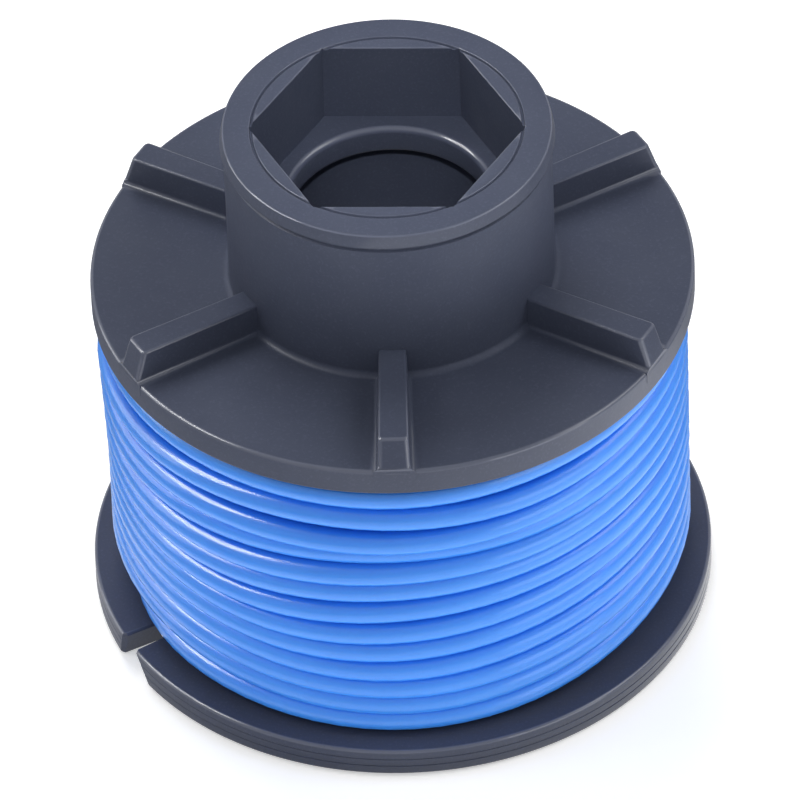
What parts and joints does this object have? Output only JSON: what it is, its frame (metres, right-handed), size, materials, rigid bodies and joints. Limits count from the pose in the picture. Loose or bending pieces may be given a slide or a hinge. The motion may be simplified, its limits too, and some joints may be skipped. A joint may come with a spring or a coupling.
{
  "type": "trimmer line spool",
  "caption": "Flanged moulded bobbin with radial ribs and a hexagonal drive socket in its hub, wound with cutting line, for a string trimmer head.",
  "frame": {"origin": "centre of the lower flange's underside, on the spool's axis", "axes": "+Z along the spool's axis towards the hub; a corner of the hexagonal socket points along +X"},
  "size_m": [0.0396, 0.0396, 0.0369],
  "materials": {
    "spool_plastic": "satin moulded, dark slate grey",
    "line_nylon": "glossy extruded nylon, bright blue"
  },
  "bodies": {
    "root": {"spool_body": "spool_plastic", "line_winding": "line_nylon"}
  },
  "joints": []
}
